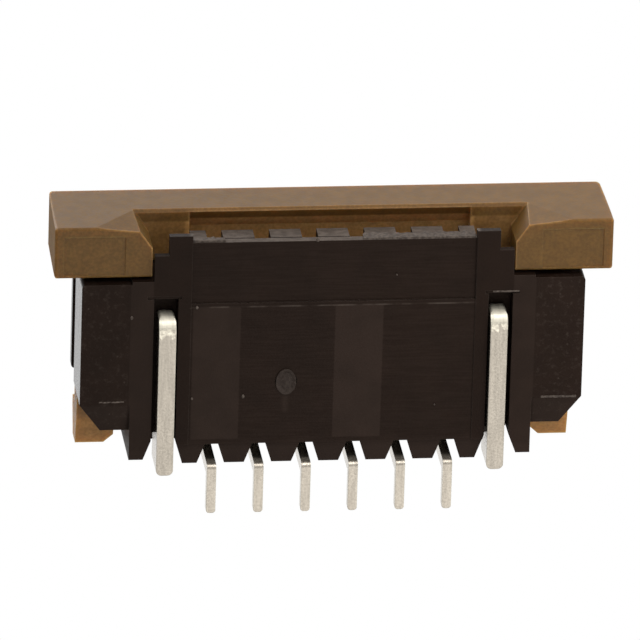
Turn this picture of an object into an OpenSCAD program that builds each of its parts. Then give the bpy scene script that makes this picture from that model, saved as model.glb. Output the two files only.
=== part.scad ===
// Right-angle surface-mount connector for a flat flexible cable, with a slider lock.
// X runs along the contact row, Y from the cable mouth (-) to the solder feet (+),
// Z up from the board. The board's surface is Z = 0.

/* [Contact row] */
// Number of contacts
circuits = 6; // [2:1:10]
// Distance between neighbouring contacts
pitch = 1; // [0.9:0.05:1.25]
// Thickness of the strip that the contacts are stamped from
contact_t = 0.2; // [0.16:0.01:0.24]
// Room on each side of a spring beam in its comb slot
beam_side_play = 0.07; // [0.05:0.005:0.09]
// Length of a solder foot beyond its leg's front face
foot_l = 1.1; // [0.8:0.05:1.5]
// Height of a solder foot
foot_t = 0.2; // [0.15:0.01:0.25]
// Depth of a contact's leg
leg_d = 0.25; // [0.2:0.01:0.3]

/* [Cable] */
// Height of the cable's path over the board
cable_z = 0.89; // [0.84:0.01:0.95]
// Height left for the cable under the closed slider
cable_gap = 0.33; // [0.3:0.01:0.36]
// Room beside each edge of the cable in the pocket
cable_side_play = 0.05; // [0.03:0.01:0.1]
// How high a contact point stands in the cable's path
contact_lift = 0.1; // [0.05:0.01:0.15]

/* [Housing] */
// Height of the housing over the board
housing_h = 2.49; // [2.44:0.01:2.7]
// Gap between the board and the ears and rails
standoff = 0.15; // [0.1:0.01:0.18]
// Step from the rails up to the rear underside
rear_step = 0.03; // [0.02:0.01:0.04]
// Step from the rails up to the front underside
front_step = 0.07; // [0.05:0.01:0.09]
// Thickness of the floor under the comb
floor_t = 0.2; // [0.16:0.01:0.22]
// Thickness of the thin side plates of the floor
side_floor_t = 0.16; // [0.12:0.01:0.2]
// Depth of the rear wall behind the cable's stop
rear_wall_d = 2; // [1.9:0.05:2.2]
// Depth of the pocket that the tongue slides in
pocket_d = 2.22; // [2.1:0.05:2.5]
// How far the floor's edge lies behind the slider's front
lip_setback = 0.35; // [0.3:0.01:0.4]
// How far the floor's two end tabs stand out of its edge
tab_lip = 0.18; // [0.1:0.01:0.22]
// Depth of the teeth between the contact legs
tooth_d = 0.48; // [0.4:0.01:0.6]
// Width of a tooth at its tip
tooth_tip_w = 0.42; // [0.36:0.01:0.46]
// Width of a tooth at its root
tooth_root_w = 0.72; // [0.66:0.01:0.74]
// Rise of the sloped undersides at the rear
bevel_rise = 0.12; // [0.05:0.01:0.16]
// Thickness of the cheek outside each solder tab
cheek_t = 0.46; // [0.42:0.01:0.55]

/* [Ears] */
// Width of an ear outside its cheek
ear_w = 1.06; // [1:0.01:1.15]
// Thickness of the plate under the slider's arm
ear_floor_t = 1.3; // [1.2:0.01:1.32]
// Thickness of the plate over the slider's arm
ear_roof_t = 0.22; // [0.16:0.01:0.24]
// How far the roof ends in front of the floor's rear edge
ear_roof_cut = 0.68; // [0.64:0.01:0.8]
// Distance from an ear's rear edge to the legs
ear_setback = 0.73; // [0.65:0.01:0.9]
// Length of the corner cut off an ear, along the cable
ear_cut_l = 0.63; // [0.5:0.01:0.64]
// Width of the corner cut off an ear, across the cable
ear_cut_w = 0.45; // [0.3:0.01:0.5]
// Radius of an ear's front corner
ear_corner_r = 0.08; // [0.05:0.01:0.15]

/* [Slider] */
// Depth of the slider's bar and end blocks
bar_d = 1.14; // [1.1:0.01:1.3]
// Height of the blocks' underside over the board
block_z = 0.27; // [0.22:0.01:0.32]
// How far the slider's top lies below the housing's
slider_drop = 0.12; // [0.1:0.01:0.2]
// How far the slider's ends stand out beyond the ears
end_reach = 0.58; // [0.5:0.01:0.7]
// How much narrower the slider's top is on each end
end_draft = 0.06; // [0.02:0.01:0.1]
// Radius of the slider's top corners
top_r = 0.18; // [0.1:0.01:0.3]
// Radius of the bar's other edges
edge_r = 0.06; // [0.03:0.01:0.08]
// Slope of the facet under the mouth's corner, in degrees
facet_tilt = 8; // [5:0.5:10]
// Thickness of the tongue
tongue_t = 0.53; // [0.45:0.01:0.55]
// Room over the tongue in the pocket
tongue_play = 0.06; // [0.04:0.01:0.08]
// Room between the tongue's tip and the cable's stop
tip_gap = 0.1; // [0.05:0.01:0.15]
// Width of the flared mouth on each side
mouth_flare = 0.34; // [0.2:0.01:0.36]
// Depth of the flared mouth
mouth_flare_d = 0.48; // [0.4:0.01:0.6]
// Depth of the shallow panels under the end blocks
panel_deep = 0.02; // [0.01:0.005:0.04]

/* [Slider arms] */
// Height of an arm
arm_h = 0.5; // [0.4:0.01:0.52]
// Room over, under and beside an arm in its ear
arm_play = 0.04; // [0.03:0.01:0.05]
// How far an arm lies inside the ear's outer face
arm_inset = 0.08; // [0.04:0.01:0.12]
// How far the arms' tips stand out behind the legs' front
arm_reach = 0.15; // [0:0.01:0.2]
// How far the barb on the tip stands over the arm
barb_h = 0.36; // [0.25:0.01:0.38]
// Rise of the arm's underside towards the tip
tip_rise = 0.18; // [0.1:0.01:0.22]
// How far the slider pulls out
travel = 0.7; // [0.5:0.05:0.75]
// Gap between the closed slider and the housing
seat_gap = 0.05; // [0.03:0.01:0.08]

/* [Solder tabs] */
// Thickness of a tab
tab_t = 0.36; // [0.3:0.01:0.4]
// Length of a tab's front end ahead of the legs
tab_front = 3.33; // [3:0.05:3.5]
// How far a tab's rear end stands behind the legs' front
tab_rear = 0.22; // [0.15:0.01:0.3]
// Height of a tab's front part
tab_low_h = 0.58; // [0.5:0.01:0.58]
// Height of a tab's blade in the rear wall
tab_blade_h = 1.5; // [1.3:0.05:1.7]
// Radius of a tab's front corner
tab_r = 0.3; // [0.2:0.01:0.32]
// Room on the inner side of a tab in its slot
tab_play_in = 0.05; // [0.03:0.01:0.08]
// Room on the outer side of a tab in its slot
tab_play_out = 0.11; // [0.08:0.01:0.15]

/* [Hidden] */
$fn = 32;
eps = 0.01;
BLACK = [0.13, 0.11, 0.1];
BROWN = [0.4, 0.3, 0.17];
TIN = [0.78, 0.75, 0.68];

// Steps and lengths that only fit these pieces together
leg_into_wall = 0.07;
ear_front_step = 0.06;
cheek_setback = 0.09;
tab_slot_gap = 0.42;
tab_blade_front = 1.7;
beam_reach_up = 1.5;

// Places along the cable, from the legs' front face forwards
body_d = rear_wall_d + pocket_d;
y_leg = (body_d + seat_gap + bar_d - leg_into_wall - foot_l) / 2;
y_rear = y_leg + leg_into_wall;
y_stop = y_rear - rear_wall_d;
y_body = y_stop - pocket_d;
y_bar_rear = y_body - seat_gap;
y_front = y_bar_rear - bar_d;
y_lip = y_front + lip_setback;
y_ear_front = y_body + ear_front_step;
y_ear_rear = y_leg - ear_setback;
y_arm_end = y_leg + arm_reach;
y_roof = y_ear_rear - ear_roof_cut;
y_barb = y_roof + travel + arm_play;
y_tooth = y_rear - tooth_d;
y_cheek = y_leg - cheek_setback;
y_tab_slot = y_leg - tab_front - tab_slot_gap;

// Heights over the board
z_rear = standoff + rear_step;
z_front = standoff + front_step;
z_floor = z_front + floor_t;
z_tongue = cable_z + cable_gap;
z_tongue_top = z_tongue + tongue_t;
z_ceiling = z_tongue_top + tongue_play;
z_slider_top = housing_h - slider_drop;
z_arm = standoff + ear_floor_t + arm_play;
z_arm_top = z_arm + arm_h;
z_ear_top = z_arm_top + arm_play + ear_roof_t;

// Contact heights
beam_t = 0.26;
beam_lift = 0.09;
z_beam = z_floor + beam_lift;
z_base_top = z_ceiling + 0.32;
z_bar = 1.19;
bar_h = 0.52;

// Places across the cable
x_row = (circuits - 1) * pitch / 2;
x_core = circuits * pitch / 2;
x_cable = (circuits + 1) * pitch / 2;
x_pocket = x_cable + cable_side_play;
x_lip = x_cable - 0.01;
x_slot_in = x_cable - tab_t / 2 - tab_play_in;
x_slot_out = x_cable + tab_t / 2 + tab_play_out;
x_cheek = x_slot_out + cheek_t;
x_ear = x_cheek + ear_w;
x_end = x_ear + end_reach;
x_block = x_slot_out + arm_play;
x_arm_out = x_ear - arm_inset;
x_web = x_cheek + 0.14;
x_arm_in = x_web + arm_play;
comb_w = contact_t + 2 * beam_side_play;

// A profile drawn in (Y, Z) and given a width w about X = 0
module across(w) {
    translate([-w / 2, 0, 0]) rotate([90, 0, 90]) linear_extrude(w) children();
}

// A profile drawn in (X, Z) and run from y0 to y1
module along(y0, y1) {
    translate([0, y1, 0]) rotate([90, 0, 0]) linear_extrude(y1 - y0) children();
}

// A box between two corners
module box(low, high) {
    translate(low) cube(high - low);
}

// The same shape on the left and on the right
module both() {
    children();
    mirror([1, 0, 0]) children();
}

// What is cut off to leave a round corner at the origin, on the quarter x > 0, y > 0
module corner_cut(r) {
    difference() {
        translate([-eps, -eps]) square(r + eps);
        translate([r, r]) circle(r);
    }
}

module at_contacts() {
    for (i = [0:circuits - 1]) translate([i * pitch - x_row, 0, 0]) children();
}

// ---------------------------------------------------------------- housing

// Outline of the right ear seen from above, with its cut rear corner
module ear_outline() {
    difference() {
        polygon([
            [x_slot_out + eps, y_ear_front],
            [x_ear, y_ear_front],
            [x_ear, y_ear_rear - ear_cut_l],
            [x_ear - ear_cut_w, y_ear_rear],
            [x_slot_out + eps, y_ear_rear]
        ]);
        translate([x_ear, y_ear_front]) mirror([1, 0]) corner_cut(ear_corner_r);
    }
}

// Ear: a plate under the slider's arm, a shorter plate over it and the web between them
module ear() {
    z_slot = z_arm - arm_play;
    z_slot_top = z_arm_top + arm_play;
    difference() {
        translate([0, 0, standoff]) linear_extrude(z_ear_top - standoff) ear_outline();
        box([x_web, y_ear_front - 1, z_slot], [x_ear + 1, y_ear_rear + 1, z_slot_top]);
        box([x_web, y_roof, z_slot], [x_ear + 1, y_ear_rear + 1, z_ear_top + 1]);
        translate([x_ear, y_roof, z_slot]) rotate(180) linear_extrude(2) corner_cut(ear_corner_r);
        ear_bevel();
    }
}

// Slope under the ear's rear edge
module ear_bevel() {
    w = x_ear - x_cheek + 1;
    translate([x_cheek + w / 2, 0, 0]) across(w) polygon([
        [y_ear_rear - ear_cut_l, standoff - eps],
        [y_ear_rear + eps, standoff - eps],
        [y_ear_rear + eps, standoff + bevel_rise + eps],
        [y_ear_rear - ear_cut_l, standoff]
    ]);
}

// Thin floor in front of the body, with its side plates and end tabs
module front_floor() {
    box([-x_core, y_lip, standoff], [x_core, y_body + eps, cable_z]);
    side_plate_front = y_lip + 0.26;
    both() {
        box([x_core - eps, y_lip - tab_lip, standoff], [x_lip, y_body + eps, standoff + side_floor_t]);
        box([x_core - eps, side_plate_front, standoff], [x_slot_out, y_body + eps, standoff + side_floor_t]);
    }
}

// Cuts under the core: the rear underside, the higher front one and the teeth's slope
module underside_cuts() {
    y_mid = y_leg - tab_front - tab_r;
    box([-x_core, y_mid, -1], [x_core, y_rear + 1, z_rear]);
    box([-x_core, y_front - 1, -1], [x_core, y_mid + eps, z_front]);
    across(2 * x_slot_in) polygon([
        [y_tooth, -eps],
        [y_rear + eps, -eps],
        [y_rear + eps, z_rear + bevel_rise],
        [y_tooth, z_rear]
    ]);
    gate_mark();
}

// Fine groove between the floor's edge and the fronts of the comb's ribs
module lip_groove() {
    box([-x_core - eps, y_lip - eps, z_floor], [x_core + eps, y_lip + 0.05, z_floor + 0.03]);
}

// Sunk ring with the broken-off moulding gate in it
module gate_mark() {
    gate_r = 0.23;
    nub_r = 0.15;
    translate([-x_core * 0.32, y_leg - 1.82, 0]) difference() {
        cylinder(r = gate_r, h = z_rear + 0.05);
        translate([0, 0, z_rear + 0.02]) cylinder(r = nub_r, h = 1);
    }
}

// Slot that one contact is pushed into from behind, open to the comb in front
module contact_slot() {
    box([-comb_w / 2, y_front - 1, z_floor], [comb_w / 2, y_stop, cable_z + eps]);
    box([-comb_w / 2, y_stop - beam_reach_up - 0.15, z_ceiling - eps], [comb_w / 2, y_stop, z_base_top]);
    box([-contact_t / 2, y_stop - eps, z_beam], [contact_t / 2, y_rear + 1, z_base_top]);
}

// Flared notch between two teeth, for a contact's leg
module leg_notch() {
    root = (pitch - tooth_root_w) / 2;
    mouth = (pitch - tooth_tip_w) / 2;
    translate([0, 0, -1]) linear_extrude(1 + z_bar + bar_h) polygon([
        [-root, y_tooth],
        [root, y_tooth],
        [mouth, y_rear],
        [mouth, y_rear + 1],
        [-mouth, y_rear + 1],
        [-mouth, y_rear]
    ]);
}

// Slot for a solder tab: low in front, tall and open at the rear, with a tight pocket
module tab_slot() {
    slot_top = tab_low_h + 0.04;
    box([x_slot_in, y_tab_slot, -1], [x_slot_out, y_rear + 1, slot_top]);
    // shallow step round the front end, and the slope inside the cheek's rear end
    box([x_slot_in - 0.07, y_tab_slot - 0.06, -1], [x_slot_out + 0.14, y_tab_slot + eps, standoff + 0.03]);
    translate([x_slot_out, y_leg - 0.54, -1]) linear_extrude(housing_h + 2) polygon([
        [-eps, 0],
        [0.165, 0.54 - cheek_setback + eps],
        [-eps, 0.54 - cheek_setback + eps]
    ]);
    translate([0, 0, -1]) linear_extrude(1 + tab_blade_h + 0.1) polygon([
        [x_slot_in, y_tooth - 0.1],
        [x_slot_out, y_tooth - 0.1],
        [x_slot_out, y_rear + 1],
        [x_slot_in - 0.17, y_rear + 1],
        [x_slot_in - 0.17, y_rear]
    ]);
    box([x_cable - tab_t / 2, y_leg - tab_blade_front, slot_top - eps],
        [x_cable + tab_t / 2, y_tooth, tab_blade_h]);
}

module housing() {
    color(BLACK) difference() {
        union() {
            box([-x_slot_out, y_body, standoff], [x_slot_out, y_rear, housing_h]);
            both() {
                box([x_slot_out - eps, y_body, standoff], [x_cheek, y_cheek, housing_h]);
                ear();
            }
            front_floor();
        }
        // Pocket for the cable and the slider's tongue
        box([-x_pocket, y_front - 1, cable_z], [x_pocket, y_stop, z_ceiling]);
        at_contacts() {
            contact_slot();
            leg_notch();
        }
        underside_cuts();
        lip_groove();
        both() tab_slot();
    }
}

// ----------------------------------------------------------------- slider

// The bar seen from the front: drafted ends and round corners
module bar_face() {
    difference() {
        polygon([
            [-x_end, block_z],
            [x_end, block_z],
            [x_end - end_draft, z_slider_top],
            [-x_end + end_draft, z_slider_top]
        ]);
        for (s = [0, 1]) mirror([s, 0]) {
            translate([x_end - end_draft, z_slider_top]) rotate(180) corner_cut(top_r);
            translate([x_end, block_z]) mirror([1, 0]) corner_cut(edge_r);
        }
    }
}

// A rectangle from one corner to the other, with its corners rounded
module round_box(low, high, front_r, rear_r) {
    difference() {
        translate(low) square(high - low);
        translate(low) corner_cut(front_r);
        translate([low[0], high[1]]) mirror([0, 1]) corner_cut(rear_r);
        translate([high[0], low[1]]) mirror([1, 0]) corner_cut(front_r);
        translate(high) rotate(180) corner_cut(rear_r);
    }
}

// The bar: its outline from the front, from the side and from above
module bar() {
    intersection() {
        along(y_front, y_bar_rear) bar_face();
        across(2 * x_end) round_box([y_front, block_z], [y_bar_rear, z_slider_top], edge_r, edge_r);
        linear_extrude(z_slider_top + 1) round_box([-x_end, y_front], [x_end, y_bar_rear], edge_r, 1.5 * edge_r);
    }
}

// Mouth between the end blocks, flared towards the cable
module mouth() {
    translate([0, 0, -1]) linear_extrude(1 + z_tongue) polygon([
        [-x_block - mouth_flare, y_front - 1],
        [x_block + mouth_flare, y_front - 1],
        [x_block + mouth_flare, y_front],
        [x_block, y_front + mouth_flare_d],
        [x_block, y_bar_rear + 1],
        [-x_block, y_bar_rear + 1],
        [-x_block, y_front + mouth_flare_d],
        [-x_block - mouth_flare, y_front]
    ]);
}

// Small chamfer over the mouth, along the bar's front
module mouth_chamfer() {
    across(2 * (x_block + mouth_flare)) polygon([
        [y_front - eps, z_tongue - eps],
        [y_front + 0.08, z_tongue - eps],
        [y_front - eps, z_tongue + 0.06]
    ]);
}

// Tongue, with its hollow over the cable's way in and its slim tip
module tongue() {
    y_tip = y_stop - tip_gap;
    across(2 * x_core) polygon([
        [y_bar_rear - 0.1, z_tongue],
        [y_tip - 0.35, z_tongue],
        [y_tip, z_tongue + 0.18],
        [y_tip, z_tongue_top - 0.1],
        [y_tip - 0.1, z_tongue_top],
        [y_bar_rear - 0.1, z_tongue_top]
    ]);
}

module cable_hollow() {
    hollow_h = 0.26;
    edge = 0.07;
    across(2 * x_core - 0.06) polygon([
        [y_front + edge, z_tongue - eps],
        [y_front + edge, z_tongue + 0.03],
        [y_front + edge + 0.4, z_tongue + hollow_h],
        [y_bar_rear - 0.2, z_tongue + hollow_h],
        [y_bar_rear + 0.2, z_tongue - eps]
    ]);
}

// Sloped facet that leads the cable's edge into the mouth
module mouth_facet() {
    run = 0.9;
    drop = z_tongue - block_z;
    translate([x_block + mouth_flare, y_front, z_tongue]) rotate([0, atan2(drop, run), 0]) rotate([facet_tilt, 0, 0])
        translate([0, -1, -2]) cube([2, 1, 2]);
}

// Shallow panel under an end block
module block_panel() {
    box([x_block + 0.57, y_front + 0.21, -1], [x_end - 0.2, y_bar_rear - 0.07, block_z + panel_deep]);
}

// Arm that runs in the ear, seen from the side: its underside rises at the tip, and a barb stands behind the roof
module arm_side() {
    tip_l = 0.64;
    polygon([
        [y_bar_rear - 0.1, z_arm],
        [y_arm_end - tip_l, z_arm],
        [y_arm_end, z_arm + tip_rise],
        [y_arm_end, z_arm_top + barb_h / 2],
        [y_barb + 0.2, z_arm_top + barb_h],
        [y_barb, z_arm_top + barb_h],
        [y_barb, z_arm_top],
        [y_bar_rear - 0.1, z_arm_top]
    ]);
}

module arm() {
    lead = 0.2;
    intersection() {
        across(2 * x_end) arm_side();
        translate([0, 0, z_arm - 1]) linear_extrude(arm_h + 2) polygon([
            [x_arm_out, y_bar_rear - 0.2],
            [x_arm_out, y_arm_end + 1],
            [x_arm_in + lead, y_arm_end + 1],
            [x_arm_in + lead, y_arm_end],
            [x_arm_in, y_arm_end - lead],
            [x_arm_in, y_bar_rear - 0.2]
        ]);
    }
}

module slider() {
    color(BROWN) difference() {
        union() {
            difference() {
                bar();
                mouth();
                mouth_chamfer();
            }
            tongue();
            both() arm();
        }
        cable_hollow();
        both() {
            mouth_facet();
            block_panel();
        }
    }
}

// --------------------------------------------------------------- contacts

// Side view of a contact, with its leg's front face at Y = 0
module contact_profile() {
    stop = y_stop - y_leg;
    base_rear = y_tooth - y_leg;
    heel_r = 0.12;
    tip = y_lip + 0.5 - y_leg;
    bump_y = stop - 1.05;
    bump_r = 0.16;
    // foot, heel and leg
    translate([heel_r, 0]) square([foot_l - heel_r, foot_t]);
    translate([0, heel_r]) square([leg_d, z_bar + bar_h - heel_r]);
    translate([heel_r, heel_r]) circle(heel_r);
    // bar and base plate
    translate([base_rear - eps, z_bar]) square([leg_d - base_rear, bar_h]);
    translate([stop, z_beam]) square([base_rear - stop, z_base_top - z_beam]);
    // lower beam with the contact point
    polygon([
        [stop + eps, z_beam],
        [stop + eps, z_beam + beam_t + 0.08],
        [bump_y + bump_r, z_beam + beam_t],
        [bump_y - bump_r, z_beam + beam_t],
        [tip, z_beam + 0.18],
        [tip, z_beam]
    ]);
    translate([bump_y, cable_z + contact_lift - bump_r]) circle(bump_r);
    // upper beam
    translate([stop - beam_reach_up, z_ceiling + 0.04]) square([beam_reach_up + eps, z_base_top - z_ceiling - 0.04]);
}

// What rounds the corners of a strip's rear end, seen from above, for a strip w wide
module rear_corners(w, y, r) {
    translate([0, 0, -1]) linear_extrude(housing_h + 1) {
        translate([w / 2, y]) rotate(180) corner_cut(r);
        translate([-w / 2, y]) mirror([0, 1]) corner_cut(r);
    }
}

module contact() {
    color(TIN) translate([0, y_leg, 0]) difference() {
        across(contact_t) contact_profile();
        rear_corners(contact_t, foot_l, 0.07);
    }
}

// ------------------------------------------------------------ solder tabs

// Right tab: a low front strip, a blade pressed into the rear wall and a rear end
module solder_tab() {
    blade_rear = y_leg - y_tooth + 0.1;
    color(TIN) translate([x_cable, y_leg, 0]) difference() {
        across(tab_t) difference() {
            union() {
                translate([-tab_front, 0]) square([tab_front - tab_blade_front + eps, tab_low_h]);
                translate([-tab_blade_front, 0]) square([tab_blade_front - blade_rear, tab_blade_h]);
                translate([-blade_rear - eps, 0]) square([blade_rear + tab_rear + eps, tab_low_h + 0.3]);
            }
            translate([-tab_front, 0]) corner_cut(tab_r);
        }
        rear_corners(tab_t, tab_rear, 0.12);
        mirror([0, 1, 0]) rear_corners(tab_t, tab_front, 0.08);
    }
}

housing();
slider();
mirror([1, 0, 0]) solder_tab();  // solder_tab_left
solder_tab();  // solder_tab_right
for (i = [1:circuits])
    translate([(i - 1) * pitch - x_row, 0, 0]) contact();
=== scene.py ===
"""Looks of the flat cable connector: finishes, moulding marks, floor, lamps and camera around its solids.

Frame: +Z up from the board, the cable goes in at -Y, X runs along the row of contacts. Blender's lengths are
metres; the places named below are millimetres, as the part's own sizes are.
"""

import math
from types import SimpleNamespace

import bmesh
import bpy
from mathutils import Matrix, Vector


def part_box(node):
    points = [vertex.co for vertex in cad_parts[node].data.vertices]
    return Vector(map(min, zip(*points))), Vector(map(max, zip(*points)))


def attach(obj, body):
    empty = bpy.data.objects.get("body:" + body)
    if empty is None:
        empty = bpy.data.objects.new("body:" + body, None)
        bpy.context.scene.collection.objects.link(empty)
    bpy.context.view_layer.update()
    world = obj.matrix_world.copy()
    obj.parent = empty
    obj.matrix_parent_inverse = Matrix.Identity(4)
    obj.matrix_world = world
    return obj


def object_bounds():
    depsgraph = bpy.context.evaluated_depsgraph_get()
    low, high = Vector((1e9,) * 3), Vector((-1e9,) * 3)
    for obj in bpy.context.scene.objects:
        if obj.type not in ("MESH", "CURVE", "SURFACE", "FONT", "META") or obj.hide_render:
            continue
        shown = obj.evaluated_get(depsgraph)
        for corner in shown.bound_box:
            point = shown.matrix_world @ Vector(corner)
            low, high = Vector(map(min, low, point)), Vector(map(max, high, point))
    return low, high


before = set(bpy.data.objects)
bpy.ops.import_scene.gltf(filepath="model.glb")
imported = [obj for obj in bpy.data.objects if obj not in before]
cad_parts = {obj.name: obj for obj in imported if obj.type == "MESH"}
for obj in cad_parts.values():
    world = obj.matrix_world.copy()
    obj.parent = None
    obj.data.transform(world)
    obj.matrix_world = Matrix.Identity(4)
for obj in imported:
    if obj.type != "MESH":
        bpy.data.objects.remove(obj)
CAD_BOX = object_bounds()

bl_info = {
    "name": "Flat cable connector looks",
    "version": (1, 0, 0),
    "blender": (4, 5, 0),
    "location": "3D View > Sidebar > Connector",
    "description": "Finishes, moulding marks, lamps and camera of a flat cable connector",
    "category": "Object",
}

MM = 0.001
CONTACTS = sorted(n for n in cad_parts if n.startswith("contact_"))
TABS = sorted(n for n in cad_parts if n.startswith("solder_tab_"))


# ---- places on the part, in millimetres, worked out from its solids ----

def corners_of(name):
    """Lowest and highest corner of a solid, in millimetres."""
    return [Vector(corner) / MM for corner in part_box(name)]


HOUSING_LOW, HOUSING_HIGH = corners_of("housing")
SLIDER_LOW, SLIDER_HIGH = corners_of("slider")
TAB_LOW = corners_of("solder_tab_right")[0]
LAST_CONTACT_HIGH = corners_of(CONTACTS[-1])[1]
PART_MIDDLE = (Vector(CAD_BOX[0]) + Vector(CAD_BOX[1])) / MM / 2

# Edges and steps that the finishes and the mould's marks keep to.
UNDERSIDE = HOUSING_LOW.z
FLOOR_LIP = HOUSING_LOW.y + 0.18
FLOOR_SIDE = LAST_CONTACT_HIGH.x + 0.4
EAR_SIDE = HOUSING_HIGH.x - 1.06
EAR_SLOPE = HOUSING_HIGH.y - 1.43
TOOTH_ROOT = HOUSING_HIGH.y - 0.48
SEAM = HOUSING_LOW.y + 1.635
BLOCK_SIDE = EAR_SIDE + 0.05
BAR_REAR = SLIDER_LOW.y + 1.14
TAB_SIDE = TAB_LOW.x - 0.12
TAB_SLOT_END = TAB_LOW.y - 0.4625

# Where the mould's inserts met the floor, along the row and from front to back.
INSERTS = ((-2.95, -1.95), (0.05, 1.06))
INSERT_ROW = (-1.4, 1.6)

# The middle of the torn gate, and each nib's place and its size next to a usual one.
GATE = Vector((-0.96, 0.31, UNDERSIDE + 0.02))
NIB_LONG, NIB_FLAT = 1.3, 0.5
NIBS = (
    (-2.88, -1.42, 0.17, 0.9),
    (-1.86, 0.63, 0.168, 1.0),
    (-2.94, 0.66, 0.168, 0.7),
    (-4.25, -1.22, 0.152, 0.9),
    (-0.37, -2.9, 0.2, 1.1),
    (1.32, -2.08, 0.185, 0.5),
    (2.2, 0.9, 0.168, 0.5),
)

# The camera looks up from below, turned to one side, tilted to the cable side and rolled, in degrees.
AIM = PART_MIDDLE + Vector((-0.1436, -0.6184, 0.0077))
CAMERA_TURN, CAMERA_TILT, CAMERA_ROLL = 7.098, 23.161, 1.719
CAMERA_DISTANCE = 300
CAMERA_LENS = 801.3
NEAR_CLIP, FAR_CLIP = 1, 2000

# Each lamp's direction from the part, its width in metres and its power in watts.
LAMPS = {
    "lamp_cable_side": ((0.3, -0.9, -0.36), 0.12, 0.18),
    "lamp_under": ((0.35, 0.3, -0.9), 0.18, 0.12),
    "lamp_over": ((-0.4, -0.5, 0.9), 0.14, 0.18),
}
FLOOR_GREY = 0.82
FLOOR_GAP = 0.02

# How far each zone of the housing goes to the inserts' colour, and how far sparks, specks, edges and slopes
# go to the colour of rubbed edges. The ears' slopes are drawn paler as painted light, and the edges are
# simply drawn paler.
PALE_ZONES = {"inserts": 1.0, "cheeks": 0.6, "teeth": 0.9, "slopes": 0.6, "ears": 0.35, "tail": 0.8}
SPARK_WEAR, SPECK_WEAR, EDGE_PALENESS, SLOPE_PAINTED_LIGHT = 0.22, 0.2, 0.3, 0.02

FLOAT, VECTOR = "NodeSocketFloat", "NodeSocketVector"


# ---- sizes and colours a user would change ----

def plain(r, g, b):
    """Linear colour of a screen colour given in 0 to 255 steps."""
    def one(c):
        c = c / 255
        return c / 12.92 if c <= 0.04045 else ((c + 0.055) / 1.055) ** 2.4
    return (one(r), one(g), one(b))


def colour(name, description, default):
    """A colour property."""
    return bpy.props.FloatVectorProperty(
        name=name, description=description, subtype="COLOR", size=3, min=0, max=1, default=default)


def share(name, description, default):
    """A property that runs from none to all."""
    return bpy.props.FloatProperty(
        name=name, description=description, subtype="FACTOR", min=0, max=1, default=default)


def length(name, description, default):
    """A length property, given in millimetres and kept in metres."""
    return bpy.props.FloatProperty(
        name=name, description=description, unit="LENGTH", min=0, precision=6, default=default * MM)


class HousingLook(bpy.types.PropertyGroup):
    """Finish of the black moulded housing."""

    body: colour("Body", "Colour of the moulded plastic", plain(26, 16, 11))
    panel: colour("Inserts", "Paler colour left by the mould inserts", plain(41, 31, 26))
    rubbed: colour("Edges", "Colour that edges and torn flash show", plain(112, 101, 92))
    roughness: share("Roughness", "Roughness of the flat faces", 0.5)
    shine: share("Shine", "Specular level of the flat faces", 0.14)
    glint: colour("Glint", "Tint of the gloss", (1.0, 0.8, 0.68))
    mottling: share("Mottling", "How strongly the sparked ears are mottled", 0.5)
    edge: length("Edge radius", "Radius that moulded edges look rounded by", 0.014)


class SliderLook(bpy.types.PropertyGroup):
    """Finish of the brown locking slider."""

    body: colour("Body", "Colour of the moulded plastic", plain(105, 76, 37))
    thin: colour("Thin edges", "Warmer colour where light comes through an edge", plain(174, 130, 80))
    glow: share("Glow", "Share of the light that travels inside the plastic", 0.5)
    roughness: share("Roughness", "Roughness of the faces", 0.42)
    shine: share("Shine", "Specular level of the faces", 0.22)
    glint: colour("Glint", "Tint of the gloss", (1.0, 0.93, 0.82))
    corner: length("Corner glow", "Width of the warmer strip along the edges", 0.1)
    edge: length("Edge radius", "Radius that moulded edges look rounded by", 0.018)


class MetalLook(bpy.types.PropertyGroup):
    """Finish of the tinned contacts and solder tabs."""

    tin: colour("Tin", "Colour of the plating", plain(186, 177, 163))
    cut: colour("Cut ends", "Colour of the sheared ends", plain(255, 247, 226))
    roughness: share("Roughness", "Roughness of the plating", 0.36)
    edge: length("Edge radius", "Radius that stamped edges look rounded by", 0.02)


class FlashSizes(bpy.types.PropertyGroup):
    """Torn gate, flash and nibs left on the housing by its mould."""

    gate_w: length("Gate width", "Width of the torn gate along the row", 0.43)
    gate_d: length("Gate depth", "Size of the torn gate from front to back", 0.58)
    ragged: length("Raggedness", "How unevenly the flash is torn", 0.035)
    lip_flash_h: length("Lip flash", "Height of the flash on the floor's front edge", 0.3)
    ridge_w: length("Ear ridge", "Width of the ridge before each ear's slope", 0.05)
    nib: length("Nib", "Width of a usual moulding nib", 0.07)


class StageSetup(bpy.types.PropertyGroup):
    """Floor, lamps, surroundings and camera."""

    floor: length("Floor", "Width of the floor", 400)
    fill: share("Fill", "Strength of the surroundings on dull surfaces", 0.55)
    dark_side: share("Dark side", "Strength of the surroundings that gloss shows below the board", 0.42)
    lamp: length("Lamp distance", "Distance of the lamps from the part", 200)


# ---- small node helpers ----

def node(tree, kind, **settings):
    """A node of that kind, with its settings."""
    made = tree.nodes.new(kind)
    for key, value in settings.items():
        setattr(made, key, value)
    return made


def feed(tree, target, socket, source):
    """Gives an input socket a value, or a link from an output socket."""
    inlet = target.inputs[socket]
    if isinstance(source, bpy.types.NodeSocket):
        tree.links.new(source, inlet)
    else:
        inlet.default_value = source


def maths(tree, operation, a, b=0.0, clamp=False):
    """The result socket of one sum on values."""
    made = node(tree, "ShaderNodeMath", operation=operation, use_clamp=clamp)
    feed(tree, made, 0, a)
    feed(tree, made, 1, b)
    return made.outputs[0]


def vectors(tree, operation, a, b=None, scale=None):
    """The result node of one sum on vectors."""
    made = node(tree, "ShaderNodeVectorMath", operation=operation)
    feed(tree, made, 0, a)
    if b is not None:
        feed(tree, made, 1, b)
    if scale is not None:
        feed(tree, made, "Scale", scale)
    return made


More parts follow.
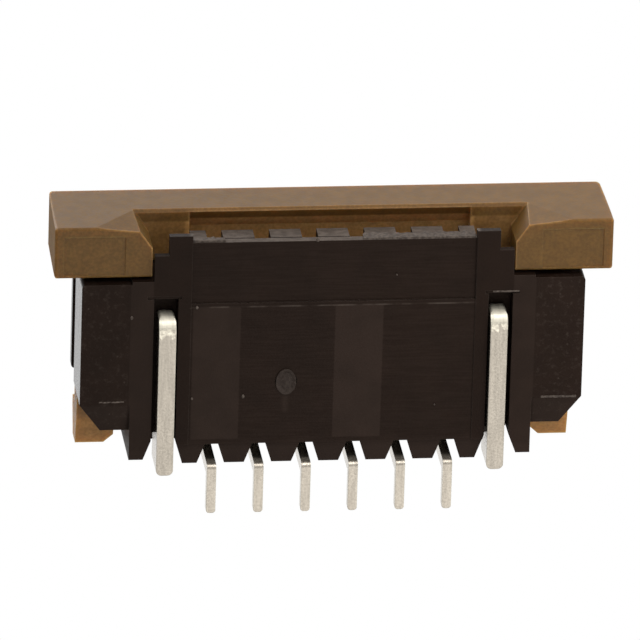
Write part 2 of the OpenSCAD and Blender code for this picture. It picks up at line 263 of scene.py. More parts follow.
def blend_colours(tree, share_of_b, a, b):
    """The colour socket of a mix of two colours."""
    made = node(tree, "ShaderNodeMix", data_type="RGBA")
    feed(tree, made, 0, share_of_b)
    feed(tree, made, 6, a)
    feed(tree, made, 7, b)
    return made.outputs[2]


def ramp(tree, value, low, high, to_low=0.0, to_high=1.0):
    """A value taken smoothly from one range to another."""
    made = node(tree, "ShaderNodeMapRange", interpolation_type="SMOOTHSTEP")
    for socket, source in zip(range(5), (value, low, high, to_low, to_high)):
        feed(tree, made, socket, source)
    return made.outputs[0]


def chain(tree, operation, values):
    """The result socket of one sum over several values."""
    result = values[0]
    for value in values[1:]:
        result = maths(tree, operation, result, value)
    return result


def overlap(tree, *masks):
    """The mask that several masks share, or a mask at part of its strength."""
    return chain(tree, "MULTIPLY", masks)


def strongest(tree, *masks):
    """The highest of several masks."""
    return chain(tree, "MAXIMUM", masks)


def scaled(tree, vector, factor):
    """A vector or colour times a value."""
    return vectors(tree, "SCALE", vector, scale=factor).outputs[0]


def parts_of(tree, vector):
    """The X, Y and Z sockets of a vector."""
    made = node(tree, "ShaderNodeSeparateXYZ")
    feed(tree, made, 0, vector)
    return made.outputs


def noise(tree, place, scale, detail, roughness=0.5):
    """The value socket of a cloudy noise."""
    made = node(tree, "ShaderNodeTexNoise")
    feed(tree, made, "Vector", place)
    feed(tree, made, "Scale", scale)
    feed(tree, made, "Detail", detail)
    feed(tree, made, "Roughness", roughness)
    return made.outputs["Fac"]


def streaks(tree, place, stretch, low, high):
    """Noise drawn out along one direction and taken from low to high."""
    drawn = vectors(tree, "MULTIPLY", place, stretch).outputs[0]
    return ramp(tree, noise(tree, drawn, 1.0, 3.0), 0.35, 0.65, low, high)


def bumped(tree, height, strength, distance, normal):
    """The normal socket of a bump on top of another normal."""
    made = node(tree, "ShaderNodeBump")
    feed(tree, made, "Height", height)
    feed(tree, made, "Strength", strength)
    feed(tree, made, "Distance", distance)
    feed(tree, made, "Normal", normal)
    return made.outputs[0]


def new_group(name, inlets, outlets):
    """An empty node group with named sockets, and its input and output nodes."""
    tree = bpy.data.node_groups.new(name, "ShaderNodeTree")
    for label, kind in inlets:
        tree.interface.new_socket(label, in_out="INPUT", socket_type=kind)
    for label, kind in outlets:
        tree.interface.new_socket(label, in_out="OUTPUT", socket_type=kind)
    return tree, node(tree, "NodeGroupInput").outputs, node(tree, "NodeGroupOutput")


# ---- effects that the materials share ----

def edge_rub_group():
    """Mask of the edges, and the normal that rounds them."""
    tree, given, out = new_group(
        "edge_rub", [("Radius", FLOAT)], [("Edge", FLOAT), ("Normal", VECTOR)])
    rounded = node(tree, "ShaderNodeBevel", samples=6)
    feed(tree, rounded, "Radius", given["Radius"])
    flat = node(tree, "ShaderNodeNewGeometry").outputs["True Normal"]
    turned = vectors(tree, "DOT_PRODUCT", rounded.outputs[0], flat).outputs["Value"]
    feed(tree, out, "Edge", ramp(tree, maths(tree, "SUBTRACT", 1.0, turned), 0.01, 0.2))
    feed(tree, out, "Normal", rounded.outputs[0])
    return tree


def moulded_grain_group():
    """Fine spark texture of a steel mould: its height and its slow mottling."""
    tree, given, out = new_group(
        "moulded_grain", [("Place", VECTOR), ("Fineness", FLOAT)], [("Height", FLOAT), ("Mottle", FLOAT)])
    feed(tree, out, "Height", noise(tree, given["Place"], given["Fineness"], 3.0))
    feed(tree, out, "Mottle", noise(tree, given["Place"], 1.6, 2.0))
    return tree


def specks_group():
    """Scattered small pale specks."""
    tree, given, out = new_group(
        "specks", [("Place", VECTOR), ("Count", FLOAT), ("Size", FLOAT)], [("Mask", FLOAT)])
    cells = node(tree, "ShaderNodeTexVoronoi")
    feed(tree, cells, "Vector", given["Place"])
    feed(tree, cells, "Scale", given["Count"])
    chance = node(tree, "ShaderNodeSeparateColor")
    feed(tree, chance, 0, cells.outputs["Color"])
    dot = ramp(tree, cells.outputs["Distance"], given["Size"], 0.0)
    feed(tree, out, "Mask", overlap(tree, dot, ramp(tree, chance.outputs[0], 0.55, 0.75)))
    return tree


def band_group():
    """A soft-edged band between two values."""
    tree, given, out = new_group(
        "band", [("Value", FLOAT), ("Low", FLOAT), ("High", FLOAT), ("Soft", FLOAT)], [("Mask", FLOAT)])

    def past(limit, to_low, to_high):
        before = maths(tree, "SUBTRACT", given[limit], given["Soft"])
        after = maths(tree, "ADD", given[limit], given["Soft"])
        return ramp(tree, given["Value"], before, after, to_low, to_high)

    feed(tree, out, "Mask", overlap(tree, past("Low", 0.0, 1.0), past("High", 1.0, 0.0)))
    return tree


GROUP_MAKERS = {
    "edge_rub": edge_rub_group,
    "moulded_grain": moulded_grain_group,
    "specks": specks_group,
    "band": band_group,
}


def shared(tree, name, **given):
    """One of the shared effects, placed in a material with its own values."""
    made = node(tree, "ShaderNodeGroup")
    made.node_tree = bpy.data.node_groups.get(name) or GROUP_MAKERS[name]()
    for label, source in given.items():
        feed(tree, made, label, source)
    return made.outputs


def within(tree, value, low, high, soft=0.02):
    """A soft-edged mask of the values between two."""
    return shared(tree, "band", Value=value, Low=low, High=high, Soft=soft)["Mask"]


def new_material(name):
    """A material, its node tree and its principled shader."""
    made = bpy.data.materials.new(name)
    made.use_nodes = True
    tree = made.node_tree
    tree.nodes.clear()
    shader = node(tree, "ShaderNodeBsdfPrincipled")
    feed(tree, node(tree, "ShaderNodeOutputMaterial"), "Surface", shader.outputs[0])
    return made, tree, shader


def place_of(tree):
    """Where a point of the surface lies, in millimetres."""
    return scaled(tree, node(tree, "ShaderNodeTexCoord").outputs["Object"], 1 / MM)


def surface_of(tree):
    """The place of a point of the surface by its parts, and which way its flat face points."""
    place = place_of(tree)
    x, y, z = parts_of(tree, place)
    nx, ny, nz = parts_of(tree, node(tree, "ShaderNodeNewGeometry").outputs["True Normal"])
    return SimpleNamespace(
        place=place, x=x, y=y, z=z, side=maths(tree, "ABSOLUTE", x),
        ny=ny, nz=nz, sideways=maths(tree, "ABSOLUTE", nx))


def dress(names, material):
    """Gives CAD nodes one material."""
    for name in names:
        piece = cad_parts[name]
        piece.data.materials.clear()
        piece.data.materials.append(material)


# ---- finishes ----

def housing_zones(tree, at):
    """Masks of the parts of the housing that look different."""
    below = ramp(tree, at.nz, -0.9, -0.99)
    downwards = ramp(tree, at.nz, -0.3, -0.8)
    outside = ramp(tree, at.side, EAR_SIDE + 0.02, EAR_SIDE + 0.07)
    inserts = maths(tree, "ADD", *(within(tree, at.x, low, high) for low, high in INSERTS))
    tail_x = within(tree, at.x, GATE.x - 0.07, GATE.x + 0.05, 0.06)
    tail_y = within(tree, at.y, GATE.y + 0.3, GATE.y + 0.7, 0.1)
    front = ramp(tree, at.ny, -0.9, -0.98)
    return SimpleNamespace(
        outside=outside,
        inserts=overlap(tree, inserts, within(tree, at.y, *INSERT_ROW), below),
        ears=overlap(tree, outside, below),
        cheeks=overlap(tree, within(tree, at.side, EAR_SIDE - 0.45, EAR_SIDE + 0.03), below),
        teeth=overlap(tree, ramp(tree, at.y, TOOTH_ROOT - 0.11, TOOTH_ROOT + 0.19), downwards),
        # The ears' bevelled slopes: painted light, drawn paler than the flat underside.
        slopes=overlap(tree, outside, ramp(tree, at.y, EAR_SLOPE - 0.02, EAR_SLOPE + 0.06), downwards),
        tail=overlap(tree, tail_x, tail_y, below),
        lip=overlap(tree, front, ramp(tree, at.y, FLOOR_LIP + 0.47, FLOOR_LIP + 0.37),
                    ramp(tree, at.side, FLOOR_SIDE + 0.1, FLOOR_SIDE)),
        seam=overlap(tree, within(tree, at.y, SEAM - 0.015, SEAM + 0.015, 0.014), below,
                     ramp(tree, at.side, FLOOR_SIDE + 0.05, FLOOR_SIDE)),
        polished=overlap(tree, ramp(tree, at.side, HOUSING_HIGH.x - 0.31, HOUSING_HIGH.x - 0.11),
                         ramp(tree, at.sideways, 0.8, 0.9)))


def insert_paleness_and_slope_light(tree, at, zones):
    """How far each face goes towards the colour that the mould's inserts left, with its brushed lines; the
    ears' slopes go there as painted light.
    """
    pale = strongest(tree, *(
        overlap(tree, getattr(zones, zone), amount) for zone, amount in PALE_ZONES.items()))
    brushed = streaks(tree, at.place, (1.5, 34.0, 2.0), 0.0, 0.3)
    brushed = overlap(tree, brushed, ramp(tree, at.side, FLOOR_SIDE + 0.05, FLOOR_SIDE - 0.05))
    return maths(tree, "ADD", pale, brushed, clamp=True)


def housing_wear_and_slope_light(tree, at, zones, edges, mottling):
    """How far each face goes towards the colour of rubbed edges and torn plastic: sparks, specks, paler
    edges, seam and lip flash, and painted light on the ears' slopes.
    """
    sparks = ramp(tree, noise(tree, at.place, 7.0, 5.0, 0.75), 0.5, 0.72)
    dots = shared(tree, "specks", Place=at.place, Count=6.0, Size=0.2)["Mask"]
    return strongest(
        tree,
        overlap(tree, sparks, zones.outside, mottling * SPARK_WEAR),
        overlap(tree, dots, zones.ears, SPECK_WEAR),
        # Edges drawn paler.
        overlap(tree, edges, EDGE_PALENESS),
        # Painted light on the ears' slopes.
        overlap(tree, zones.slopes, SLOPE_PAINTED_LIGHT),
        overlap(tree, zones.seam, streaks(tree, at.place, (2.4, 3.0, 1.0), 0.03, 0.34)),
        overlap(tree, zones.lip, streaks(tree, at.place, (6.0, 6.0, 9.0), 0.38, 0.62)))


def housing_material():
    """Black moulded plastic: mould insert panels, sparked ears, paler edges, painted light on the ears'
    slopes and painted sheen towards +X.
    """
    look = bpy.context.scene.housing_look
    made, tree, shader = new_material("black_moulding")
    at = surface_of(tree)
    zones = housing_zones(tree, at)
    grain = shared(tree, "moulded_grain", Place=at.place, Fineness=26.0)
    rub = shared(tree, "edge_rub", Radius=look.edge)

    base = blend_colours(tree, insert_paleness_and_slope_light(tree, at, zones), (*look.body, 1), (*look.panel, 1))
    wear_and_slope_light_share = housing_wear_and_slope_light(tree, at, zones, rub["Edge"], look.mottling)
    base = blend_colours(tree, wear_and_slope_light_share, base, (*look.rubbed, 1))
    # Mottling, times painted sheen: the housing is drawn lighter towards +X.
    mottle_and_painted_light = overlap(
        tree, ramp(tree, grain["Mottle"], 0.3, 0.7, 0.88, 1.1), ramp(tree, at.x, -6.0, 6.0, 0.88, 1.24))
    feed(tree, shader, "Base Color", scaled(tree, base, mottle_and_painted_light))

    rough = ramp(tree, grain["Height"], 0.3, 0.7, look.roughness - 0.05, look.roughness + 0.07)
    rough = maths(tree, "ADD", rough, overlap(tree, zones.ears, 0.12))
    feed(tree, shader, "Roughness", maths(tree, "SUBTRACT", rough, overlap(tree, zones.polished, 0.34)))
    shader.inputs["Specular IOR Level"].default_value = look.shine
    shader.inputs["Specular Tint"].default_value = (*look.glint, 1)
    strength = maths(tree, "ADD", 0.25, overlap(tree, zones.ears, 0.6))
    feed(tree, shader, "Normal", bumped(tree, grain["Height"], strength, 0.012 * MM, rub["Normal"]))
    return made


def torn_material(name, palest):
    """The same black plastic where it is torn: paler, duller and uneven."""
    look = bpy.context.scene.housing_look
    made, tree, shader = new_material(name)
    grain = shared(tree, "moulded_grain", Place=place_of(tree), Fineness=16.0)
    rub = shared(tree, "edge_rub", Radius=look.edge)
    pale = ramp(tree, grain["Height"], 0.32, 0.68, 0.3 * palest, palest)
    pale = strongest(tree, pale, overlap(tree, rub["Edge"], 0.8 * palest))
    feed(tree, shader, "Base Color", blend_colours(tree, pale, (*look.panel, 1), (*look.rubbed, 1)))
    feed(tree, shader, "Roughness", ramp(tree, grain["Height"], 0.3, 0.7, 0.5, 0.7))
    shader.inputs["Specular IOR Level"].default_value = look.shine
    feed(tree, shader, "Normal", bumped(tree, grain["Height"], 0.8, 0.02 * MM, rub["Normal"]))
    return made


def slider_zones(tree, at):
    """Masks of the slider's sunk panels, the hollow of its mouth, its arms' tips and its two ends; the
    hollow and the tips carry painted glow.
    """
    end = SLIDER_HIGH.x
    not_up = ramp(tree, at.nz, 0.5, 0.2)
    mouth = overlap(
        tree, within(tree, at.y, SLIDER_LOW.y + 0.27, 2.0, 0.03), ramp(tree, at.z, 1.12, 1.17), not_up,
        ramp(tree, at.z, SLIDER_HIGH.z - 0.17, SLIDER_HIGH.z - 0.27))
    hollow = overlap(tree, mouth, ramp(tree, at.side, FLOOR_SIDE + 0.1, FLOOR_SIDE, 0.4, 1.0))
    return SimpleNamespace(
        sunk=overlap(tree, within(tree, at.side, BLOCK_SIDE, end - 0.13, 0.04),
                     within(tree, at.y, SLIDER_LOW.y + 0.14, BAR_REAR - 0.05), ramp(tree, at.z, 0.5, 0.4)),
        hollow=hollow,
        # Painted glow: the mouth's hollow and the arms' tips are drawn in the warmer colour.
        hollow_glow=overlap(tree, hollow, ramp(tree, at.side, BLOCK_SIDE, BLOCK_SIDE - 0.1)),
        tips=overlap(tree, not_up, ramp(tree, at.y, 1.2, 1.8, 0.0, 0.6)),
        ends=overlap(tree, ramp(tree, at.side, end - 0.29, end - 0.19), ramp(tree, at.sideways, 0.8, 0.9)))


def slider_material():
    """Brown moulded plastic with a little light travelling through it, painted glow on its edges, its arms'
    tips and the hollow of its mouth, and painted sheen towards +X.
    """
    look = bpy.context.scene.slider_look
    made, tree, shader = new_material("brown_moulding")
    at = surface_of(tree)
    zones = slider_zones(tree, at)
    grain = shared(tree, "moulded_grain", Place=at.place, Fineness=15.0)
    rub = shared(tree, "edge_rub", Radius=look.edge)
    corner = shared(tree, "edge_rub", Radius=look.corner)

    # Painted glow along the edges, weaker in the sunk panels.
    edges = maths(
        tree, "ADD", overlap(tree, rub["Edge"], 0.15), overlap(tree, corner["Edge"], 0.6), clamp=True)
    edges = overlap(tree, edges, maths(tree, "SUBTRACT", 1.0, overlap(tree, zones.sunk, 0.85)))
    painted_glow = strongest(tree, edges, zones.hollow_glow, zones.tips)
    base = blend_colours(tree, painted_glow, (*look.body, 1), (*look.thin, 1))
    upright_hollow_glow = ramp(tree, maths(tree, "ABSOLUTE", at.ny), 0.5, 0.8, -0.05, 1.7)
    # Streaks and grain, with painted light: lighter towards +X, and the upright faces in the mouth's hollow
    # painted up to 2.7 times brighter.
    mottle_and_painted_light = overlap(
        tree, streaks(tree, at.place, (3.5, 3.5, 3.5), 0.93, 1.07), ramp(tree, at.x, -6.5, 6.5, 0.92, 1.12),
        maths(tree, "ADD", 1.0, overlap(tree, zones.hollow, upright_hollow_glow)),
        ramp(tree, grain["Height"], 0.3, 0.7, 0.86, 1.14))
    feed(tree, shader, "Base Color", scaled(tree, base, mottle_and_painted_light))

    rough = ramp(tree, grain["Height"], 0.3, 0.7, look.roughness - 0.05, look.roughness + 0.08)
    feed(tree, shader, "Roughness", maths(tree, "ADD", rough, overlap(tree, zones.ends, 0.35)))
    shader.inputs["Specular IOR Level"].default_value = look.shine
    shader.inputs["Specular Tint"].default_value = (*look.glint, 1)
    shader.inputs["Subsurface Weight"].default_value = look.glow
    shader.inputs["Subsurface Radius"].default_value = (1.0, 0.55, 0.25)
    shader.inputs["Subsurface Scale"].default_value = 0.8 * MM
    feed(tree, shader, "Normal", bumped(tree, grain["Height"], 0.3, 0.01 * MM, rub["Normal"]))
    return made


def metal_zones(tree, at):
    """Masks of the tabs, their noses and scraped ends, and of the contacts' legs above their feet, whose
    fronts get painted shade.
    """
    tabs = ramp(tree, at.side, TAB_SIDE - 0.1, TAB_SIDE)
    flanks = ramp(tree, at.sideways, 0.3, 0.7)
    legs = overlap(tree, ramp(tree, at.side, TAB_SIDE, TAB_SIDE - 0.1), ramp(tree, at.z, 0.24, 0.42))
    torn_line = maths(tree, "ADD", at.y, streaks(tree, at.place, (9.0, 5.0, 9.0), -0.12, 0.12))
    return SimpleNamespace(
        flanks=flanks,
        noses=overlap(tree, ramp(tree, at.ny, -0.1, -0.5), tabs),
        scraped=overlap(tree, ramp(tree, torn_line, TAB_LOW.y + 0.35, TAB_LOW.y + 0.28), tabs),
        painted_shade_legs=overlap(tree, legs, maths(tree, "SUBTRACT", 1.0, flanks)))


def tin_material():
    """Matte tin plating with rolled streaks, paler cut ends with a painted highlight on the tabs' noses, and
    painted shade on the contacts' legs.
    """
    look = bpy.context.scene.metal_look
    made, tree, shader = new_material("matte_tin")
    at = surface_of(tree)
    zones = metal_zones(tree, at)
    grain = shared(tree, "moulded_grain", Place=at.place, Fineness=22.0)
    rub = shared(tree, "edge_rub", Radius=look.edge)

    blobs = streaks(tree, at.place, (8.0, 6.0, 8.0), 0.75, 1.0)
    pitted = streaks(tree, at.place, (13.0, 16.0, 13.0), 0.3, 0.8)
    # The tabs' cut noses are drawn paler, partly for their sheared metal and partly as a painted highlight
    # where the front light falls; scraped ends and edges are drawn paler too.
    bright = strongest(
        tree, overlap(tree, zones.noses, blobs), overlap(tree, zones.scraped, pitted), rub["Edge"])
    base = blend_colours(tree, bright, (*look.tin, 1), (*look.cut, 1))
    # Painted shade: the fronts of the contacts' legs are darkened, standing in for the black housing they
    # reflect; the contacts are drawn a little brighter than the tabs.
    contact_gain = ramp(tree, at.side, TAB_SIDE - 0.1, TAB_SIDE, 1.16, 1.0)
    shade = maths(tree, "SUBTRACT", contact_gain, overlap(tree, zones.painted_shade_legs, 0.7))
    rolled = streaks(tree, at.place, (14.0, 1.2, 3.0), 0.88, 1.04)
    feed(tree, shader, "Base Color", scaled(tree, base, overlap(tree, rolled, shade)))

    rough = ramp(tree, grain["Height"], 0.3, 0.7, look.roughness - 0.06, look.roughness + 0.1)
    feed(tree, shader, "Roughness", maths(tree, "SUBTRACT", rough, overlap(tree, zones.flanks, 0.22)))
    feed(tree, shader, "Metallic", maths(tree, "SUBTRACT", 0.85, overlap(tree, zones.noses, 0.6)))
    feed(tree, shader, "Normal", bumped(tree, grain["Height"], 0.35, 0.008 * MM, rub["Normal"]))
    return made


class DressHousing(bpy.types.Operator):
    """Gives the housing its black moulded finish"""

    bl_idname = "connector.dress_housing"
    bl_label = "Finish housing"

    def execute(self, context):
        dress(["housing"], housing_material())
        torn_material("torn_moulding", 0.78)
        torn_material("gate_moulding", 0.18)
        return {"FINISHED"}


class DressSlider(bpy.types.Operator):
    """Gives the slider its brown moulded finish"""

    bl_idname = "connector.dress_slider"
    bl_label = "Finish slider"

    def execute(self, context):
        dress(["slider"], slider_material())
        return {"FINISHED"}


class DressMetal(bpy.types.Operator):
    """Gives the contacts and solder tabs their tin plating"""

    bl_idname = "connector.dress_metal"
    bl_label = "Finish contacts and tabs"

    def execute(self, context):
        dress(CONTACTS + TABS, tin_material())
        return {"FINISHED"}


# ---- what the mould left on the housing ----

def bar(name, low, high):
    """A bar between two corners given in millimetres."""
    bpy.ops.object.select_all(action="DESELECT")
    low, high = Vector(low) * MM, Vector(high) * MM
    bpy.ops.mesh.primitive_cube_add(size=1, location=(low + high) / 2)
    made = bpy.context.object
    made.name = made.data.name = name
    made.scale = high - low
    bpy.ops.object.transform_apply(location=True, rotation=False, scale=True)
    return made


def pick(piece, kind, test):
    """In edit mode, selects only those vertices, edges or faces whose middle passes the test."""
    bpy.ops.mesh.select_mode(type=kind)
    bpy.ops.mesh.select_all(action="DESELECT")
    mesh = bmesh.from_edit_mesh(piece.data)
    for item in {"VERT": mesh.verts, "EDGE": mesh.edges, "FACE": mesh.faces}[kind]:
        corners = [item] if kind == "VERT" else item.verts
        middle = sum((c.co for c in corners), Vector()) / len(corners)
        if test(middle / MM, item):
            item.select_set(True)
    mesh.select_flush_mode()
    bmesh.update_edit_mesh(piece.data)


def runs_along_row(middle, edge):
    """Whether an edge lies along X."""
    step = edge.verts[1].co - edge.verts[0].co
    return abs(step.x) > 0.9 * step.length


def close_up(piece, edge):
    """Leaves edit mode with the faces pointing outwards and the sharp edges bevelled."""
    bpy.ops.mesh.select_all(action="SELECT")
    bpy.ops.mesh.normals_make_consistent(inside=False)
    bpy.ops.object.mode_set(mode="OBJECT")
    piece.modifiers.new("soft edges", "BEVEL").width = edge
    bpy.ops.object.modifier_apply(modifier="soft edges")
    bpy.ops.object.shade_smooth_by_angle(angle=math.radians(40))


def torn_bar(name, low, high, cuts, torn_part, ragged, seed):
    """A thin bar along the row whose torn side, picked by torn_part, is uneven."""
    made = bar(name, low, high)
    bpy.ops.object.mode_set(mode="EDIT")
    pick(made, "EDGE", runs_along_row)
    bpy.ops.mesh.subdivide(number_cuts=cuts)
    pick(made, "VERT", lambda at, vertex: torn_part(at))
    bpy.ops.transform.vertex_random(offset=ragged, seed=seed)
    close_up(made, 0.004 * MM)
    return made


def finish_torn(piece, material):
    """Torn plastic finish on a piece that stays with the housing."""
    piece.data.materials.append(material)
    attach(piece, "base")


class TearGate(bpy.types.Operator):
    """Models the torn moulding gate under the housing"""

    bl_idname = "connector.tear_gate"
    bl_label = "Torn gate"

    def execute(self, context):
        sizes = context.scene.flash_sizes
        thickness = 0.05 * MM
        face_down = GATE.z - 0.02
        bpy.ops.object.select_all(action="DESELECT")
        bpy.ops.mesh.primitive_cylinder_add(vertices=26, radius=0.5, depth=1, location=GATE * MM)
        gate = context.object
        gate.name = gate.data.name = "torn_gate"
        gate.scale = (sizes.gate_w, sizes.gate_d, thickness)
        bpy.ops.object.transform_apply(location=True, rotation=False, scale=True)
        bpy.ops.object.mode_set(mode="EDIT")
        pick(gate, "FACE", lambda at, face: at.z < face_down)
        bpy.ops.mesh.inset(thickness=0.05 * MM)
        bpy.ops.transform.translate(value=(0, 0, 0.015 * MM))
        bpy.ops.transform.vertex_random(offset=0.02 * MM, seed=3)
        bpy.ops.mesh.inset(thickness=0.04 * MM)
        bpy.ops.transform.translate(value=(0.01 * MM, -0.02 * MM, 0.02 * MM))
        bpy.ops.mesh.inset(thickness=0.03 * MM)
        bpy.ops.transform.translate(value=(0, 0, -0.015 * MM))
        pick(gate, "VERT", lambda at, vertex: at.z < face_down)
        bpy.ops.transform.vertex_random(offset=0.008 * MM, seed=5)
        close_up(gate, 0.006 * MM)
        finish_torn(gate, bpy.data.materials["gate_moulding"])
        return {"FINISHED"}


class TearFlash(bpy.types.Operator):
    """Models the ragged flash on the floor's front edge, on both ears and beside the right tab's slot"""

    bl_idname = "connector.tear_flash"
    bl_label = "Ragged flash"

    def execute(self, context):
        sizes = context.scene.flash_sizes
        material = bpy.data.materials["torn_moulding"]
        tall = UNDERSIDE + 0.05 + sizes.lip_flash_h / MM
        half = sizes.ridge_w / MM / 2
        for name, (left, right), (bottom, top), cuts, seed in (
                ("lip_flash_right", (0.6, FLOOR_SIDE - 0.04), (UNDERSIDE + 0.07, tall), 34, 11),
                ("lip_flash_left", (-FLOOR_SIDE + 0.02, -2.3), (UNDERSIDE + 0.09, UNDERSIDE + 0.25), 12, 4)):
            made = torn_bar(name, (left, FLOOR_LIP - 0.045, bottom), (right, FLOOR_LIP, top), cuts,
                            lambda at: at.z > top - 0.02, sizes.ragged, seed)
            finish_torn(made, material)

        for name, (left, right), middle, half_width, under, cuts, ragged, seed in (
                ("ear_ridge_right", (4.45, 5.2), EAR_SLOPE, half, 0.008, 22, 0.012, 7),
                ("ear_ridge_left", (-4.9, -4.38), EAR_SLOPE - 0.06, half * 0.7, 0.004, 16, 0.01, 8),
                ("slot_edge_right", (3.36, 3.92), TAB_SLOT_END, 0.0175, 0.008, 12, 0.01, 9)):
            made = torn_bar(name, (left, middle - half_width, UNDERSIDE - under),
                            (right, middle + half_width, UNDERSIDE + 0.02), cuts,
                            lambda at: at.z < UNDERSIDE, ragged * MM, seed)
            finish_torn(made, material)
        return {"FINISHED"}


class ScatterNibs(bpy.types.Operator):
    """Models the small nibs left where the mould was chipped"""

    bl_idname = "connector.scatter_nibs"
    bl_label = "Moulding nibs"

    def execute(self, context):
        sizes = context.scene.flash_sizes
        bpy.ops.object.select_all(action="DESELECT")
        bpy.ops.mesh.primitive_ico_sphere_add(subdivisions=2, radius=sizes.nib / 2, location=(0, 0, 0))
        model = context.object
        bpy.ops.object.mode_set(mode="EDIT")
        bpy.ops.mesh.select_all(action="SELECT")
        bpy.ops.transform.vertex_random(offset=sizes.nib * 0.12, seed=2)
        bpy.ops.object.mode_set(mode="OBJECT")
        bpy.ops.object.shade_smooth()
        material = bpy.data.materials["torn_moulding"]
        for number, (x, y, z, size) in enumerate(NIBS, 1):
            nib = model.copy()
            nib.data = model.data.copy()
            nib.name = nib.data.name = f"nib_{number}"
            context.collection.objects.link(nib)
            flattened = Matrix.Diagonal((size, size * NIB_LONG, size * NIB_FLAT, 1))
            nib.data.transform(Matrix.Translation(Vector((x, y, z)) * MM) @ flattened)
            finish_torn(nib, material)
        bpy.data.objects.remove(model)
        return {"FINISHED"}


# ---- floor, surroundings, lamps and camera ----

def floor_material():
    """Pale floor that shows only from above, and lets the lamps below the board through."""
    made = bpy.data.materials.new("pale_floor")
    made.use_nodes = True
    tree = made.node_tree
    tree.nodes.clear()
    out = node(tree, "ShaderNodeOutputMaterial")
    paint = node(tree, "ShaderNodeBsdfDiffuse")
    feed(tree, paint, "Color", (FLOOR_GREY, FLOOR_GREY, FLOOR_GREY, 1))
    clear = node(tree, "ShaderNodeBsdfTransparent")
    either = node(tree, "ShaderNodeMixShader")
    seen = node(tree, "ShaderNodeLightPath").outputs["Is Camera Ray"]
    front = maths(tree, "SUBTRACT", 1.0, node(tree, "ShaderNodeNewGeometry").outputs["Backfacing"])
    feed(tree, either, 0, maths(tree, "MULTIPLY", seen, front))
    feed(tree, either, 1, clear.outputs[0])
    feed(tree, either, 2, paint.outputs[0])
    feed(tree, out, "Surface", either.outputs[0])
    return made


def surroundings(setup):
    """White all round for the camera, white above and dim below for gloss, even for dull surfaces."""
    world = bpy.data.worlds.new("studio")
    bpy.context.scene.world = world
    world.use_nodes = True
    tree = world.node_tree
    tree.nodes.clear()
    out = node(tree, "ShaderNodeOutputWorld")
    sky = node(tree, "ShaderNodeBackground")
    feed(tree, out, "Surface", sky.outputs[0])
    feed(tree, sky, "Color", (1, 1, 1, 1))
    rays = node(tree, "ShaderNodeLightPath").outputs
    height = parts_of(tree, node(tree, "ShaderNodeTexCoord").outputs["Generated"])[2]
    gloss = ramp(tree, height, -0.45, 0.15, setup.dark_side, 1.0)
    shown = strongest(tree, rays["Is Camera Ray"], rays["Is Transmission Ray"])
    glossy_gain = maths(tree, "MULTIPLY", rays["Is Glossy Ray"], maths(tree, "SUBTRACT", gloss, setup.fill))
    lighting = maths(tree, "ADD", setup.fill, glossy_gain)
    feed(tree, sky, "Strength", strongest(tree, shown, lighting))


def lamp(name, towards, size, power, distance):
    """A soft square lamp that looks at the part from that direction."""
    bpy.ops.object.light_add(type="AREA")
    made = bpy.context.object
    made.name = name
    made.data.size = size
    made.data.energy = power
    made.visible_camera = False
    back = Vector(towards).normalized()
    turn = back.to_track_quat("Z", "Y").to_matrix().to_4x4()
    made.matrix_world = Matrix.Translation(AIM * MM + back * distance) @ turn


def look_through_camera():
    """The camera, below the board and a little to the cable side, which it shows at the top."""
    turn, tilt, roll = (math.radians(angle) for angle in (CAMERA_TURN, CAMERA_TILT, CAMERA_ROLL))
    back = Vector((-math.sin(turn) * math.cos(tilt), -math.sin(tilt), -math.cos(turn) * math.cos(tilt)))
    right = Vector((0, -1, 0)).cross(back).normalized()
    level = Matrix((right, back.cross(right), back)).transposed().to_4x4()
    bpy.ops.object.camera_add()
    made = bpy.context.object
    made.name = "camera"
    made.data.lens = CAMERA_LENS
    made.data.clip_start = NEAR_CLIP * MM
    made.data.clip_end = FAR_CLIP * MM
    eye = (AIM + back * CAMERA_DISTANCE) * MM
    made.matrix_world = Matrix.Translation(eye) @ level @ Matrix.Rotation(roll, 4, "Z")
    bpy.context.scene.camera = made


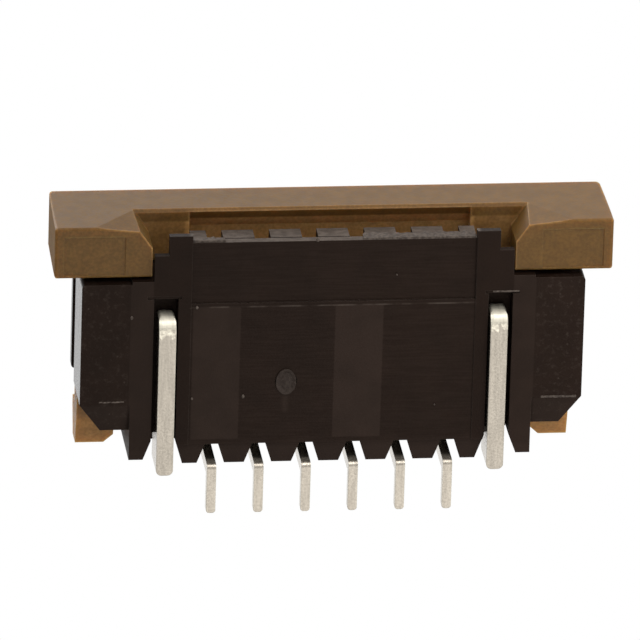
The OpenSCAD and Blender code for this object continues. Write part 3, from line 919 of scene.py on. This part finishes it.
class MakeStage(bpy.types.Operator):
    """Lays the floor, lights the part and places the camera"""

    bl_idname = "connector.make_stage"
    bl_label = "Floor, lamps and camera"

    def execute(self, context):
        setup = context.scene.stage_setup
        bpy.ops.object.select_all(action="DESELECT")
        bpy.ops.mesh.primitive_plane_add(size=setup.floor, location=(0, 0, -FLOOR_GAP * MM))
        floor = context.object
        floor.name = "floor"
        bpy.ops.object.transform_apply(location=True, rotation=False, scale=False)
        floor.data.materials.append(floor_material())
        surroundings(setup)
        for name, (towards, size, power) in LAMPS.items():
            lamp(name, towards, size, power, setup.lamp)
        look_through_camera()
        context.scene.view_settings.view_transform = "Standard"
        return {"FINISHED"}


class ConnectorPanel(bpy.types.Panel):
    """Buttons and settings in the sidebar"""

    bl_idname = "VIEW3D_PT_connector"
    bl_label = "Flat cable connector"
    bl_space_type = "VIEW_3D"
    bl_region_type = "UI"
    bl_category = "Connector"

    def draw(self, context):
        """A button for each step, then every setting."""
        for step in STEPS:
            self.layout.operator(step.bl_idname)
        for name in LOOKS:
            group = getattr(context.scene, name)
            for key in group.__annotations__:
                self.layout.prop(group, key)


LOOKS = {
    "housing_look": HousingLook,
    "slider_look": SliderLook,
    "metal_look": MetalLook,
    "flash_sizes": FlashSizes,
    "stage_setup": StageSetup,
}
STEPS = (DressHousing, DressSlider, DressMetal, TearGate, TearFlash, ScatterNibs, MakeStage)


def register():
    """Adds the operators, the panel and the settings to Blender."""
    for name, group in LOOKS.items():
        bpy.utils.register_class(group)
        setattr(bpy.types.Scene, name, bpy.props.PointerProperty(type=group))
    for kind in (*STEPS, ConnectorPanel):
        bpy.utils.register_class(kind)


def unregister():
    """Takes them out again."""
    for kind in (*STEPS, ConnectorPanel):
        bpy.utils.unregister_class(kind)
    for name, group in LOOKS.items():
        delattr(bpy.types.Scene, name)
        bpy.utils.unregister_class(group)


def main():
    """Dresses the part, models the mould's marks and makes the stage."""
    register()
    bpy.ops.connector.dress_housing()
    bpy.ops.connector.dress_slider()
    bpy.ops.connector.dress_metal()
    bpy.ops.connector.tear_gate()
    bpy.ops.connector.tear_flash()
    bpy.ops.connector.scatter_nibs()
    bpy.ops.connector.make_stage()


if __name__ == "__main__":
    main()
